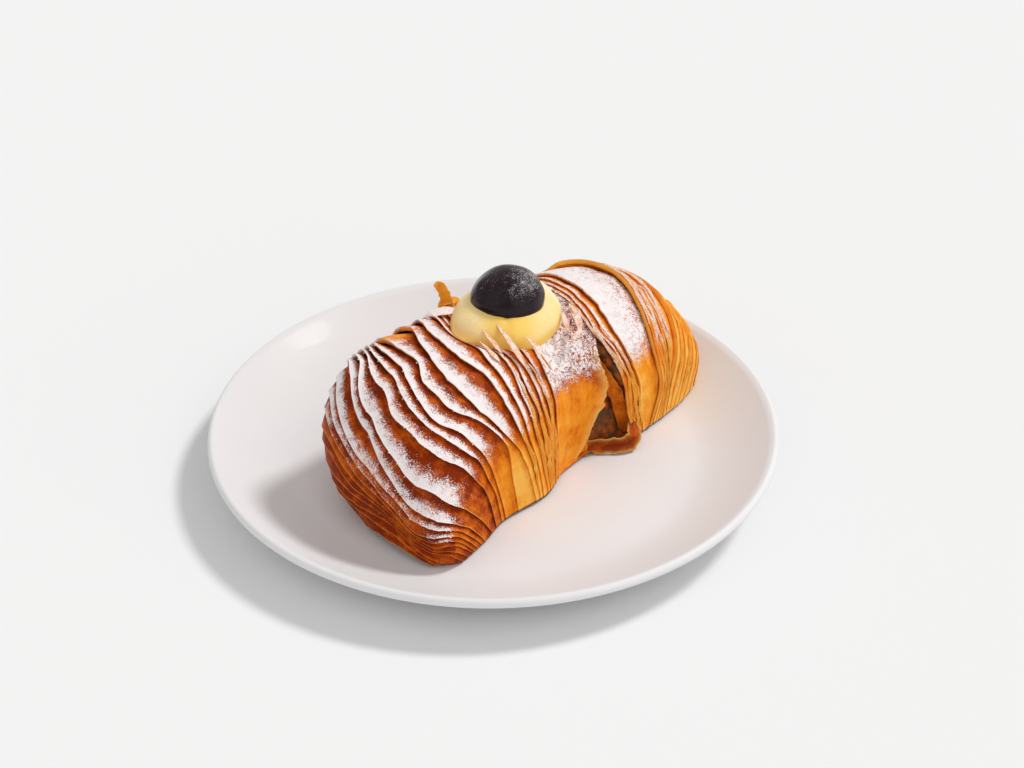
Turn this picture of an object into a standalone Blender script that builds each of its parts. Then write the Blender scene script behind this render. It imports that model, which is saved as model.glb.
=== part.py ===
"""A lobster tail pastry on its plate: a flaky layered shell, custard cream piped into it and a dark cherry on top.

Metres, +Z up. The origin is the middle of the plate's foot, on the table.
The pastry is drawn in its own directions: along it from the front end to the back end, across it, and up.
Each ring of dough is an arch that starts on the plate at the right, passes over the crown and ends on the plate
at the left, so a place on the shell is a share of the pastry's length and a turn round its arch.
"""

import math

import bmesh
import bpy
from mathutils import Vector

MM = 0.001
SHARP_ANGLE = math.radians(35)

# Plate
PLATE_RADIUS = 90 * MM
PLATE_HEIGHT = 17 * MM
WELL_RADIUS = 64 * MM
WELL_TOP = 5 * MM
WELL_UNDERSIDE = 1.6 * MM
RIM_THICKNESS = 3.6 * MM
RIM_CURVE = 1.6
RIM_STEPS = 4
FOOT_RADIUS = 52 * MM
FOOT_WIDTH = 3.5 * MM
FOOT_TAPER = 0.8 * MM
LIP_WIDTH = 1.6 * MM
LIP_TOP_INSET = 0.4 * MM
LIP_DROP = 1.4 * MM
LIP_UNDER_INSET = 1.0 * MM
PLATE_SIDES = 64

# Pastry: the direction it lies in, and its gap to the plate
LIES_AT = math.radians(52)
ALONG = Vector((math.cos(LIES_AT), math.sin(LIES_AT), 0))
ACROSS = Vector((math.sin(LIES_AT), -math.cos(LIES_AT), 0))
UP = Vector((0, 0, 1))
CLEAR = 0.3 * MM
ARCH_COLUMNS = 44
BASE_COLUMNS = 5
# Blender starts a sphere's columns at a whole or at half a step, and this share takes each to its own number
SPHERE_COLUMN_START = 0.25
LOWEST_LAYER = 0.8 * MM
SIDE_FULLNESS = 0.12
SHOULDER_FULLNESS = 0.30
SHOULDER_SHARE = 0.27
SHOULDER_SPREAD = 0.15
SIDE_SHARPNESS = 0.85
CROWN_SHARPNESS = 0.9
NORMAL_STEP = 0.01
NORMAL_MARGIN = 0.06

# Arches that carry the shell: share of the length, then millimetres along and across for the right foot,
# the same for the left foot, and along, across and up for the crown
ARCHES = (
    (0.00, (-58, 22), (-54, -4), (-59, 9, 2)),
    (0.08, (-50.5, 28.5), (-47, -18), (-60, 4, 14)),
    (0.20, (-40, 28), (-34, -28), (-56, -3, 33)),
    (0.34, (-27, 26), (-19, -31.5), (-41, -5, 48)),
    (0.48, (-10, 28.5), (-2, -30), (-14, -2, 52)),
    (0.62, (9, 24), (15, -27), (12, 1, 48)),
    (0.75, (26, 30.5), (32, -27), (37, 4, 46.5)),
    (0.88, (48, 32.5), (50, -23), (58, 6, 40.5)),
    (0.97, (64, 32), (63, -10), (70, 12, 25)),
    (1.00, (70, 27), (67, 3), (73, 14, 13)),
)

# Bands of layers: first share, last share, layers, how far a layer's edge stands out, rows for each layer
BANDS = (
    (0.012, 0.100, 6, 1.0 * MM, 2),
    (0.130, 0.455, 10, 2.0 * MM, 3),
    (0.480, 0.531, 4, 1.4 * MM, 2),
    (0.565, 0.565, 1, 0.9 * MM, 2),
    (0.690, 0.722, 3, 1.5 * MM, 2),
    (0.760, 0.760, 1, 0.6 * MM, 2),
    (0.810, 0.840, 3, 2.4 * MM, 2),
    (0.880, 0.895, 2, 2.2 * MM, 2),
    (0.915, 0.975, 4, 1.4 * MM, 2),
)
OVERHANG = 0.002
FOOT_STEP = 0.003
# How high a layer's tucked foot, its edge and its middle stand, as shares of its lift, and where the middle is
TUCKED_LIFT = -0.4
EDGE_LIFT = 0.6
MIDDLE_LIFT = 0.2
MIDDLE_PLACE = 0.55
LIFT_FADE = 0.3
# Where the dough has opened: how much further the edges stand out, the share and turn, and the spread of each
CREST_FLARE = 1.6
CREST_SHARE = 0.36
CREST_TURN = math.radians(112)
CREST_SPREAD = (0.09, 0.35)
GOLDEN_LIP_FLARE = 0.4
GOLDEN_LIP_SHARE = 0.82
GOLDEN_LIP_TURN = math.radians(100)
GOLDEN_LIP_SPREAD = (0.03, 0.6)

# How far the layers bow towards the back end below the crown, as a share of the length, by share
BOW_SHARES = (0.0, 0.06, 0.18, 0.30, 0.43, 0.58, 1.0)
LEFT_BOW = (0.05, 0.14, 0.15, 0.085, 0.04, 0.0, 0.0)
RIGHT_BOW = (0.02, 0.07, 0.08, 0.04, 0.035, 0.0, 0.0)
BOW_MIDDLE = math.radians(59)
LEFT_BOW_TURN = math.radians(61)
LEFT_BOW_SHARPNESS = 1.3
RIGHT_BOW_TURN = math.radians(42)

# Gap torn in the waist, on the right: between the flap of the front half and the first layers of the back half
FLAP_EDGE = 0.632
FLAP_BULGE = 0.06
FLAP_SHARPNESS = 0.9
FLAP_EDGE_DEPTH = -0.5 * MM
BACK_EDGE = 0.680
BACK_EDGE_PULL = 0.12
PULL_FADES = 0.17
PULL_SHARPNESS = 1.5
GAP_TOP = math.radians(59)
GAP_TAPER = 0.35
GAP_DEPTH = 8.0 * MM
GAP_WALL = 0.05
INNER_SHEET_FROM = 0.42
INNER_SHEET_STEP = 0.08
INNER_SHEET_TO = 0.92
INNER_SHEET_DEPTH = 4.0 * MM
INNER_SHEET_LIP = 2.5 * MM
INNER_SHEET_LIP_TOP = math.radians(24)

# Custard cream: a squat oval dollop that fills the opening on top of the waist, longest the way the pastry lies
CREAM_ALONG = 6.4 * MM
CREAM_ACROSS = 0.6 * MM
CREAM_MIDDLE_HEIGHT = 52 * MM
CREAM_HALF_LENGTH = 19.6 * MM
CREAM_HALF_WIDTH = 15.8 * MM
CREAM_HALF_HEIGHT = 9 * MM
CREAM_SQUARENESS = 0.75
CREAM_THREE_WAVES = 0.02
CREAM_THREE_WAVES_START = 0.6
CREAM_FIVE_WAVES = 0.02
CREAM_SIDES = 36
CREAM_RINGS = 14

# Cherry
CHERRY_RADIUS = 11.1 * MM
CHERRY_ALONG = 6.2 * MM
CHERRY_ACROSS = 1.3 * MM
CHERRY_MIDDLE_HEIGHT = 60 * MM
CHERRY_DENT = 0.13
CHERRY_DENT_SIDE = Vector((-0.62, -0.12, 0.77))
CHERRY_DENT_EDGE = 0.7
CHERRY_WIDENING = 1.04
CHERRY_FLATTENING = 0.9
CHERRY_SIDES = 28
CHERRY_RINGS = 16

# Curled flake that stands up beside the cream
FLAKE_ALONG = 0 * MM
FLAKE_ACROSS = -15 * MM
FLAKE_FOOT_HEIGHT = 50 * MM
FLAKE_HEIGHT = 12 * MM
FLAKE_WIDTH = 4 * MM
FLAKE_TAPER = 0.4
FLAKE_LEAN = 4.5 * MM
FLAKE_BOW = 2 * MM
FLAKE_THICKNESS = 1.2 * MM
FLAKE_STEPS = 6


def place(along, across, height):
    return ALONG * along + ACROSS * across + UP * height


def smooth_step(value):
    value = min(1.0, max(0.0, value))
    return value * value * (3 - 2 * value)


def smooth_rise(value):
    """Starts level at 0, reaches 1 and stays there."""
    return min(1.0, max(0.0, value)) ** LEFT_BOW_SHARPNESS


def plate_top(radius):
    """Height of the plate's upper face at this distance from its middle."""
    rise = max(0.0, radius - WELL_RADIUS) / (PLATE_RADIUS - WELL_RADIUS)
    return WELL_TOP + (PLATE_HEIGHT - WELL_TOP) * min(1.0, rise) ** RIM_CURVE


def slopes(shares, values):
    """Slopes at the given shares for a curve that passes every value and never swings past one."""
    steps = [
        (values[i + 1] - values[i]) / (shares[i + 1] - shares[i])
        for i in range(len(shares) - 1)
    ]
    inner = [
        2 * a * b / (a + b) if a * b > 0 else 0.0 for a, b in zip(steps, steps[1:])
    ]
    return [steps[0], *inner, steps[-1]]


def curve_through(shares, values):
    tangents = slopes(shares, values)

    def value_at(share):
        share = min(shares[-1], max(shares[0], share))
        i = max(n for n in range(len(shares) - 1) if shares[n] <= share)
        width = shares[i + 1] - shares[i]
        x = (share - shares[i]) / width
        start = values[i] * (1 + 2 * x) * (1 - x) ** 2 + tangents[i] * width * x * (1 - x) ** 2
        end = values[i + 1] * x * x * (3 - 2 * x) + tangents[i + 1] * width * x * x * (x - 1)
        return start + end

    return value_at


ARCH_SHARES = [arch[0] for arch in ARCHES]
RIGHT_FOOT, LEFT_FOOT, CROWN = (
    [
        curve_through(ARCH_SHARES, [arch[part][axis] * MM for arch in ARCHES])
        for axis in range(axes)
    ]
    for part, axes in ((1, 2), (2, 2), (3, 3))
)


left_bow = curve_through(BOW_SHARES, LEFT_BOW)
right_bow = curve_through(BOW_SHARES, RIGHT_BOW)


def body_point(share, turn):
    """A point of the smooth body under the layers: turn is 0 at the right foot and pi at the left foot."""
    right = place(RIGHT_FOOT[0](share), RIGHT_FOOT[1](share), WELL_TOP)
    left = place(LEFT_FOOT[0](share), LEFT_FOOT[1](share), WELL_TOP)
    crown = place(CROWN[0](share), CROWN[1](share), WELL_TOP + CROWN[2](share))
    middle = (right + left) / 2
    side, rise = math.cos(turn), math.sin(turn)
    shoulder = 0.0
    if side < 0:
        shoulder = SHOULDER_FULLNESS * math.exp(-(((share - SHOULDER_SHARE) / SHOULDER_SPREAD) ** 2))
    out = math.copysign(abs(side) ** (SIDE_SHARPNESS - shoulder), side)
    out *= 1 + SIDE_FULLNESS * math.sin(2 * turn) ** 2
    return middle + (right - left) / 2 * out + (crown - middle) * abs(rise) ** CROWN_SHARPNESS


def body_normal(share, turn):
    """The outward direction of the smooth body."""
    low, high = max(0.0, share - NORMAL_STEP), min(1.0, share + NORMAL_STEP)
    turn = min(math.pi - NORMAL_MARGIN, max(NORMAL_MARGIN, turn))
    lengthways = body_point(high, turn) - body_point(low, turn)
    roundways = body_point(share, turn + NORMAL_STEP) - body_point(share, turn - NORMAL_STEP)
    return lengthways.cross(roundways).normalized()


def warped(share, turn):
    """Where a layer of this share lies at this turn: the edges bow back on both sides, and round the gap."""
    left = smooth_rise((turn - BOW_MIDDLE) / LEFT_BOW_TURN) * left_bow(share)
    right = smooth_step((BOW_MIDDLE - turn) / RIGHT_BOW_TURN) * right_bow(share)
    beside_gap = max(0.0, 1 - (share - BACK_EDGE) / PULL_FADES) if share >= BACK_EDGE else 0.0
    pull = BACK_EDGE_PULL * beside_gap * max(0.0, 1 - turn / GAP_TOP) ** PULL_SHARPNESS
    return min(1.0, share + left + right + pull)


def flap_share(turn):
    """The torn edge of the front half, which bulges over the gap."""
    down = min(1.0, max(0.0, 1 - turn / GAP_TOP))
    return FLAP_EDGE + FLAP_BULGE * math.sin(math.pi * down**FLAP_SHARPNESS)


def gap_opening(turn):
    """1 where the torn gap is wide open, 0 where it has closed."""
    return smooth_step((GAP_TOP - turn) / (GAP_TOP * GAP_TAPER))


def inner_sheet_depth(turn):
    """The layer inside the gap lies deep at the top, and its foot spreads past the layers beside it."""
    foot = 1 - smooth_step(turn / INNER_SHEET_LIP_TOP)
    return INNER_SHEET_DEPTH * (1 - foot) - INNER_SHEET_LIP * foot


def edge_flare(share, turn):
    """How much further an edge stands out where the dough has opened: the left crest and the two golden lips."""

    def nearness(middle, spread):
        return math.exp(-(((share - middle[0]) / spread[0]) ** 2) - ((turn - middle[1]) / spread[1]) ** 2)

    crest = nearness((CREST_SHARE, CREST_TURN), CREST_SPREAD)
    lip = nearness((GOLDEN_LIP_SHARE, GOLDEN_LIP_TURN), GOLDEN_LIP_SPREAD)
    return 1 + CREST_FLARE * crest + GOLDEN_LIP_FLARE * lip


def layer_row(share, lift, overhang=0.0):
    """A row along a layer: for each turn, the share where it lies and how far it stands out."""

    def at(turn):
        rise = abs(math.sin(turn))
        shift = FOOT_STEP * (1 - rise) - overhang * rise if overhang else 0.0
        return warped(share, turn) + shift, lift * rise**LIFT_FADE * edge_flare(share, turn)

    return at


def gap_row(across, depth):
    """A row inside the torn gap: across is 0 at the front half's torn edge and 1 at the back half."""

    def at(turn):
        flap, back = flap_share(turn), warped(BACK_EDGE, turn)
        return flap + (back - flap) * across, -depth(turn) * gap_opening(turn)

    return at


def band_rows(first, last, layers, lift, count):
    """Each layer's foot, where it tucks under the one before, its edge, and, on a wide layer, its middle."""
    step = (last - first) / max(1, layers - 1)
    for n in range(layers):
        share = first + step * n
        yield layer_row(share, TUCKED_LIFT * lift)
        yield layer_row(share, EDGE_LIFT * lift, OVERHANG)
        if count == 3:
            yield layer_row(share + step * MIDDLE_PLACE, MIDDLE_LIFT * lift)


def layer_rows():
    """Rows of the shell from the front end to the back end."""
    front = [at for band in BANDS if band[0] < FLAP_EDGE for at in band_rows(*band)]
    gap = [
        gap_row(0.0, lambda turn: FLAP_EDGE_DEPTH),
        gap_row(GAP_WALL, lambda turn: GAP_DEPTH),
        gap_row(INNER_SHEET_FROM, lambda turn: GAP_DEPTH),
        gap_row(INNER_SHEET_FROM + INNER_SHEET_STEP, inner_sheet_depth),
        gap_row(INNER_SHEET_TO, inner_sheet_depth),
    ]
    back = [at for band in BANDS if band[0] > FLAP_EDGE for at in band_rows(*band)]
    return front + gap + back


def shell_point(at, column):
    """The shell's surface on one row: the arch columns first, then the columns across its underside."""
    if column <= ARCH_COLUMNS:
        turn = math.pi * column / ARCH_COLUMNS
        share, lift = at(turn)
        share = min(1.0, max(0.0, share))
        outward = body_normal(share, turn)
        outward -= ALONG * outward.dot(ALONG) * (1 - abs(math.sin(turn)))
        point = body_point(share, turn) + outward * lift
    else:
        across = (column - ARCH_COLUMNS) / (BASE_COLUMNS + 1)
        left, right = shell_point(at, ARCH_COLUMNS), shell_point(at, 0)
        point = left.lerp(right, across)
        point.z = 0.0
    lowest = plate_top(math.hypot(point.x, point.y)) + CLEAR
    if column <= ARCH_COLUMNS:
        lowest += LOWEST_LAYER
    point.z = max(point.z, lowest)
    return point


def material(name, colour, roughness):
    made = bpy.data.materials.new(name)
    made.use_nodes = True
    shader = made.node_tree.nodes["Principled BSDF"]
    shader.inputs["Base Color"].default_value = (*colour, 1)
    shader.inputs["Roughness"].default_value = roughness
    shader.inputs["Metallic"].default_value = 0.0
    return made


def add_object(name, bm, finish=None):
    """A named object from a bmesh, with its faces outwards."""
    bmesh.ops.recalc_face_normals(bm, faces=bm.faces)
    if bm.calc_volume(signed=True) < 0:
        bmesh.ops.reverse_faces(bm, faces=bm.faces)
    mesh = bpy.data.meshes.new(name)
    bm.to_mesh(mesh)
    bm.free()
    if finish:
        mesh.materials.append(finish)
        mesh.shade_smooth()
        mesh.set_sharp_from_angle(angle=SHARP_ANGLE)
    made = bpy.data.objects.new(name, mesh)
    bpy.context.scene.collection.objects.link(made)
    return made


def apply_boolean(target, other, operation):
    """Cuts another object from the target, or fuses it on, and removes that object."""
    modifier = target.modifiers.new(operation.title(), "BOOLEAN")
    modifier.operation = operation
    modifier.object = other
    graph = bpy.context.evaluated_depsgraph_get()
    result = bpy.data.meshes.new_from_object(target.evaluated_get(graph))
    old = target.data
    target.modifiers.clear()
    target.data = result
    result.name = target.name
    bpy.data.meshes.remove(old)
    bpy.data.objects.remove(other)


def plate_profile():
    """Radius and height round the plate's section, from the middle of its well to the middle of its underside."""
    rim = [
        WELL_RADIUS + (PLATE_RADIUS - LIP_WIDTH - WELL_RADIUS) * n / RIM_STEPS
        for n in range(RIM_STEPS + 1)
    ]
    top = [(0.0, WELL_TOP), (WELL_RADIUS / 2, WELL_TOP), *((r, plate_top(r)) for r in rim)]
    lip = [
        (PLATE_RADIUS - LIP_TOP_INSET, PLATE_HEIGHT),
        (PLATE_RADIUS, PLATE_HEIGHT - LIP_DROP),
        (PLATE_RADIUS - LIP_UNDER_INSET, PLATE_HEIGHT - RIM_THICKNESS),
    ]
    under = [
        (r, max(WELL_UNDERSIDE, plate_top(r) - RIM_THICKNESS)) for r in reversed(rim[:-1])
    ]
    foot = [
        (FOOT_RADIUS + FOOT_TAPER, WELL_UNDERSIDE),
        (FOOT_RADIUS, 0.0),
        (FOOT_RADIUS - FOOT_WIDTH, 0.0),
        (FOOT_RADIUS - FOOT_WIDTH - FOOT_TAPER, WELL_UNDERSIDE),
        (0.0, WELL_UNDERSIDE),
    ]
    return top + lip + under + foot


def make_plate():
    bm = bmesh.new()
    corners = [bm.verts.new((radius, 0, height)) for radius, height in plate_profile()]
    edges = [bm.edges.new(pair) for pair in zip(corners, corners[1:])]
    bmesh.ops.spin(
        bm,
        geom=corners + edges,
        cent=(0, 0, 0),
        axis=(0, 0, 1),
        angle=2 * math.pi,
        steps=PLATE_SIDES,
        use_merge=True,
    )
    bmesh.ops.remove_doubles(bm, verts=bm.verts, dist=0.01 * MM)
    return add_object("plate", bm, material("plate_glaze", (0.80, 0.78, 0.77), 0.2))


def make_shell():
    rows = layer_rows()
    columns = ARCH_COLUMNS + 1 + BASE_COLUMNS
    bm = bmesh.new()
    bmesh.ops.create_uvsphere(bm, u_segments=columns, v_segments=len(rows) + 1, radius=1)
    places = [[shell_point(at, column) for column in range(columns)] for at in rows]
    ends = [sum(ring, Vector()) / columns for ring in (places[0], places[-1])]
    for vertex in bm.verts:
        latitude = math.acos(max(-1.0, min(1.0, vertex.co.z)))
        row = round(latitude / math.pi * (len(rows) + 1))
        if row in (0, len(rows) + 1):
            vertex.co = ends[0 if row == 0 else 1]
            continue
        around = math.atan2(vertex.co.y, vertex.co.x) / (2 * math.pi) * columns
        column = math.floor(around + SPHERE_COLUMN_START)
        vertex.co = places[row - 1][column % columns]
    bmesh.ops.triangulate(bm, faces=bm.faces)
    return add_object("pastry_shell", bm, material("baked_pastry", (0.62, 0.28, 0.07), 0.5))


def make_flake():
    """A strip that leaves the shell, leans over and bows outwards."""
    bm = bmesh.new()
    bmesh.ops.create_grid(bm, x_segments=FLAKE_STEPS, y_segments=1, size=0.5)
    for vertex in bm.verts:
        rise = vertex.co.x + 0.5
        width = FLAKE_WIDTH * (1 - FLAKE_TAPER * rise)
        middle = place(FLAKE_ALONG, FLAKE_ACROSS, FLAKE_FOOT_HEIGHT + FLAKE_HEIGHT * rise)
        sideways = vertex.co.y * width - FLAKE_LEAN * rise
        vertex.co = middle + Vector((sideways, -FLAKE_BOW * math.sin(math.pi * rise), 0))
    bm.normal_update()
    bmesh.ops.solidify(bm, geom=bm.faces[:], thickness=FLAKE_THICKNESS)
    bmesh.ops.triangulate(bm, faces=bm.faces)
    return add_object("flake", bm)


def make_cream(name, extra, finish=None):
    """A squat oval dollop with a soft top, larger by extra all round."""
    bm = bmesh.new()
    bmesh.ops.create_uvsphere(bm, u_segments=CREAM_SIDES, v_segments=CREAM_RINGS, radius=1)
    for vertex in bm.verts:
        height = vertex.co.z
        wide = math.hypot(vertex.co.x, vertex.co.y) ** CREAM_SQUARENESS
        heading = math.atan2(vertex.co.y, vertex.co.x)
        three_waves = CREAM_THREE_WAVES * math.sin(3 * heading + CREAM_THREE_WAVES_START)
        wide *= 1 + three_waves + CREAM_FIVE_WAVES * math.sin(5 * heading)
        along = CREAM_ALONG + (CREAM_HALF_LENGTH + extra) * wide * math.cos(heading)
        across = CREAM_ACROSS - (CREAM_HALF_WIDTH + extra) * wide * math.sin(heading)
        vertex.co = place(along, across, CREAM_MIDDLE_HEIGHT + (CREAM_HALF_HEIGHT + extra) * height)
    return add_object(name, bm, finish)


def make_cherry(name, extra, finish=None):
    """A round cherry, a little flat on one side, larger by extra all round."""
    bm = bmesh.new()
    bmesh.ops.create_uvsphere(bm, u_segments=CHERRY_SIDES, v_segments=CHERRY_RINGS, radius=1)
    middle = place(CHERRY_ALONG, CHERRY_ACROSS, CHERRY_MIDDLE_HEIGHT)
    for vertex in bm.verts:
        direction = vertex.co.normalized()
        towards_dent = (direction.dot(CHERRY_DENT_SIDE) - CHERRY_DENT_EDGE) / (1 - CHERRY_DENT_EDGE)
        dent = CHERRY_DENT * smooth_step(towards_dent)
        reach = (CHERRY_RADIUS + extra) * (1 - dent)
        direction.x *= CHERRY_WIDENING
        direction.z *= CHERRY_FLATTENING
        vertex.co = middle + direction * reach
    return add_object(name, bm, finish)


def build():
    for leftover in list(bpy.data.objects):
        bpy.data.objects.remove(leftover)
    make_plate()
    shell = make_shell()
    apply_boolean(shell, make_flake(), "UNION")
    apply_boolean(shell, make_cream("cream_socket", CLEAR), "DIFFERENCE")
    cream = make_cream("custard_cream", 0.0, material("custard", (0.90, 0.68, 0.30), 0.45))
    apply_boolean(cream, make_cherry("cherry_socket", CLEAR), "DIFFERENCE")
    make_cherry("cherry", 0.0, material("dark_cherry", (0.012, 0.006, 0.012), 0.12))


build()
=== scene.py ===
"""Looks of the lobster tail pastry on its plate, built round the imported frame.

Metres, +Z up, the origin in the middle of the plate's foot, as in the CAD. The shell is drawn leaf by leaf. A
place on it is a share of the pastry's length, from the front end to the back end, and a turn round its arch,
from the right foot over the crown to the left foot. Each leaf has a free edge that faces the front end, and
its rear is tucked in under the next leaf.
"""

import math

import bmesh
import bpy
import numpy as np
from mathutils import Matrix, Vector


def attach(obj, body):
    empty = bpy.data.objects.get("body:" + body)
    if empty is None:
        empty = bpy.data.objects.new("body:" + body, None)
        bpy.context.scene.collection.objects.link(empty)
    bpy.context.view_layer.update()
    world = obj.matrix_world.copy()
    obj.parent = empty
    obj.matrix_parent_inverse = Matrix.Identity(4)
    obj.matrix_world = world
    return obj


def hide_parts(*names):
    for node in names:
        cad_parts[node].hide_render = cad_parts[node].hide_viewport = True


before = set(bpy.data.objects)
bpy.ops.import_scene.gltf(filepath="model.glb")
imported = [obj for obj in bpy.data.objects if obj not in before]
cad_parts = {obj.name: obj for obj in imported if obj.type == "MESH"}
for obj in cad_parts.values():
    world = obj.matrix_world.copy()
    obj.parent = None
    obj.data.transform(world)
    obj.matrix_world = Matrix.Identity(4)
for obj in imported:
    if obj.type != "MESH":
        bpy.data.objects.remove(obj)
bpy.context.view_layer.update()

MM = 0.001

# The pastry's own directions on the plate, as in the CAD
LIES_AT = math.radians(52)
ALONG = np.array((math.cos(LIES_AT), math.sin(LIES_AT), 0.0))
ACROSS = np.array((math.sin(LIES_AT), -math.cos(LIES_AT), 0.0))
UP = np.array((0.0, 0.0, 1.0))

# Plate
PLATE_RADIUS = 90 * MM
PLATE_HEIGHT = 17 * MM
WELL_RADIUS = 64 * MM
WELL_TOP = 5 * MM
WELL_UNDERSIDE = 1.6 * MM
RIM_THICKNESS = 3.6 * MM
RIM_CURVE = 1.6
LIP_RADIUS = 1.6 * MM
FOOT_RADIUS = 52 * MM
FOOT_WIDTH = 3.5 * MM
FOOT_SIDE = ((1.0 * MM, WELL_UNDERSIDE), (0.2 * MM, 0.5 * MM), (-0.4 * MM, 0.0))
PLATE_SIDES = 192
CLEAR_OF_PLATE = 0.35 * MM

# Smooth body under the leaves. For each section: its share, then in mm where its right foot, its left foot
# and its crown lie, along and across, with the crown's height
ARCHES = (
    (0.00, (-58, 22), (-54, -4), (-59, 9, 2)),
    (0.08, (-50.5, 28.5), (-47, -18), (-60, 4, 14)),
    (0.20, (-40, 28), (-34, -28), (-56, -3, 33)),
    (0.34, (-27, 26), (-19, -31.5), (-41, -5, 48)),
    (0.48, (-10, 28.5), (-2, -30), (-14, -2, 52)),
    (0.62, (9, 24), (15, -27), (12, 1, 48)),
    (0.75, (26, 30.5), (32, -27), (37, 4, 46.5)),
    (0.88, (48, 32.5), (50, -23), (58, 6, 40.5)),
    (0.97, (64, 32), (63, -10), (70, 12, 25)),
    (1.00, (70, 27), (67, 3), (73, 14, 13)),
)
SIDE_FULLNESS = 0.12
SHOULDER_FULLNESS = 0.30
SHOULDER_SHARE = 0.27
SHOULDER_SPREAD = 0.15
SIDE_SHARPNESS = 0.85
CROWN_SHARPNESS = 0.9

# Torn gap in the waist, on the right
FLAP_EDGE = 0.632
FLAP_BULGE = 0.06
BACK_EDGE = 0.680
BACK_EDGE_PULL = 0.12
GAP_TOP = math.radians(59)
GAP_DEPTH = 8.0 * MM
CORE_DEPTH = 1.1 * MM

# Cream and cherry, in mm along, across and up
CREAM_MIDDLE = (6.4, 0.6, 52)
CREAM_HALF_LENGTH = 19.6 * MM
CREAM_HALF_WIDTH = 15.8 * MM
CREAM_HALF_HEIGHT = 9 * MM
CHERRY_MIDDLE = (6.2, 1.3, 60)
CHERRY_RADIUS = 11.1 * MM
CHERRY_STRETCH = np.array((1.04, 1.0, 0.875))
CHERRY_DENT = 0.10
CHERRY_DENT_SIDE = np.array((-0.62, -0.12, 0.77))
CHERRY_CREASE = 0.006
CHERRY_SWELLS = (((-0.82, -0.1, 0.563), 0.05), ((0.45, 0.1, 0.887), 0.045))

# The shell sinks near the cream, by this share of what stands above this height. The reach is in half sizes
# of the cream.
DIPS_ABOVE = 51 * MM
DIP_SHARE = 0.75
DIP_MOST = 7 * MM
DIP_REACH = 1.35
DIP_FADE = 0.4

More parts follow.
